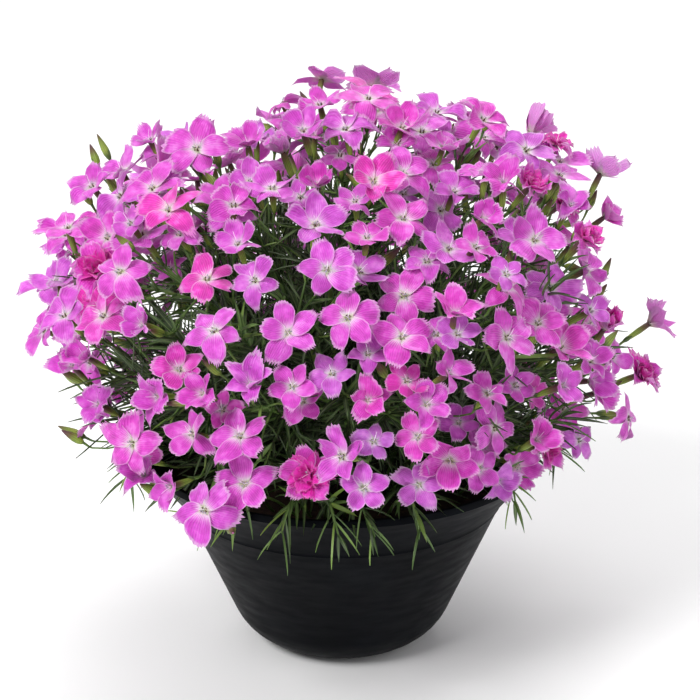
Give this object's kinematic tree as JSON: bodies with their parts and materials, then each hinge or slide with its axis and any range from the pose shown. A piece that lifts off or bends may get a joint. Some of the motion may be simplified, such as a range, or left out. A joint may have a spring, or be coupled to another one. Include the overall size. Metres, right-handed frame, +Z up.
{
  "type": "potted dianthus in flower",
  "caption": "Flowering plant in a dark bowl pot: thin stems fan out of the soil, narrow leaves fill the middle and pink five-petalled blooms make a dome.",
  "frame": {"origin": "middle of the pot's flat foot, on the surface that it rests on", "axes": "+Z up, -Y towards the front of the plant, +X to the right of the front"},
  "size_m": [0.3677, 0.3445, 0.321],
  "materials": {
    "pot_plastic": "charcoal black moulded plastic with a soft sheen",
    "potting_soil": "dark, damp, crumbly potting soil, rough and without gloss",
    "bloom_and_stem": "thin matte orchid pink petals with pale toothed edges and veins, on green stalks",
    "foliage": "dark green narrow leaves and stems, matte with a faint waxy bloom"
  },
  "bodies": {
    "root": {"pot": "pot_plastic", "soil": "potting_soil", "spray_01": "bloom_and_stem", "spray_02": "bloom_and_stem", "spray_03": "bloom_and_stem", "spray_04": "bloom_and_stem", "spray_05": "bloom_and_stem", "spray_06": "bloom_and_stem", "spray_07": "bloom_and_stem", "spray_08": "bloom_and_stem", "spray_09": "bloom_and_stem", "spray_10": "bloom_and_stem", "spray_11": "bloom_and_stem", "spray_12": "bloom_and_stem", "spray_13": "bloom_and_stem", "spray_14": "bloom_and_stem", "spray_15": "bloom_and_stem", "spray_16": "bloom_and_stem", "spray_17": "bloom_and_stem", "spray_18": "bloom_and_stem", "spray_19": "bloom_and_stem", "spray_20": "bloom_and_stem", "spray_21": "bloom_and_stem", "spray_22": "bloom_and_stem", "spray_23": "bloom_and_stem", "spray_24": "bloom_and_stem", "spray_25": "bloom_and_stem", "spray_26": "bloom_and_stem", "spray_27": "bloom_and_stem", "spray_28": "bloom_and_stem", "spray_29": "bloom_and_stem", "spray_30": "bloom_and_stem", "spray_31": "bloom_and_stem", "spray_32": "bloom_and_stem", "spray_33": "bloom_and_stem", "spray_34": "bloom_and_stem", "spray_35": "bloom_and_stem", "spray_36": "bloom_and_stem", "spray_37": "bloom_and_stem", "tuft_01": "foliage", "tuft_02": "foliage", "tuft_03": "foliage", "tuft_04": "foliage", "tuft_05": "foliage", "tuft_06": "foliage", "tuft_07": "foliage", "tuft_08": "foliage", "tuft_09": "foliage", "tuft_10": "foliage", "tuft_11": "foliage", "tuft_12": "foliage", "tuft_13": "foliage"}
  },
  "joints": []
}
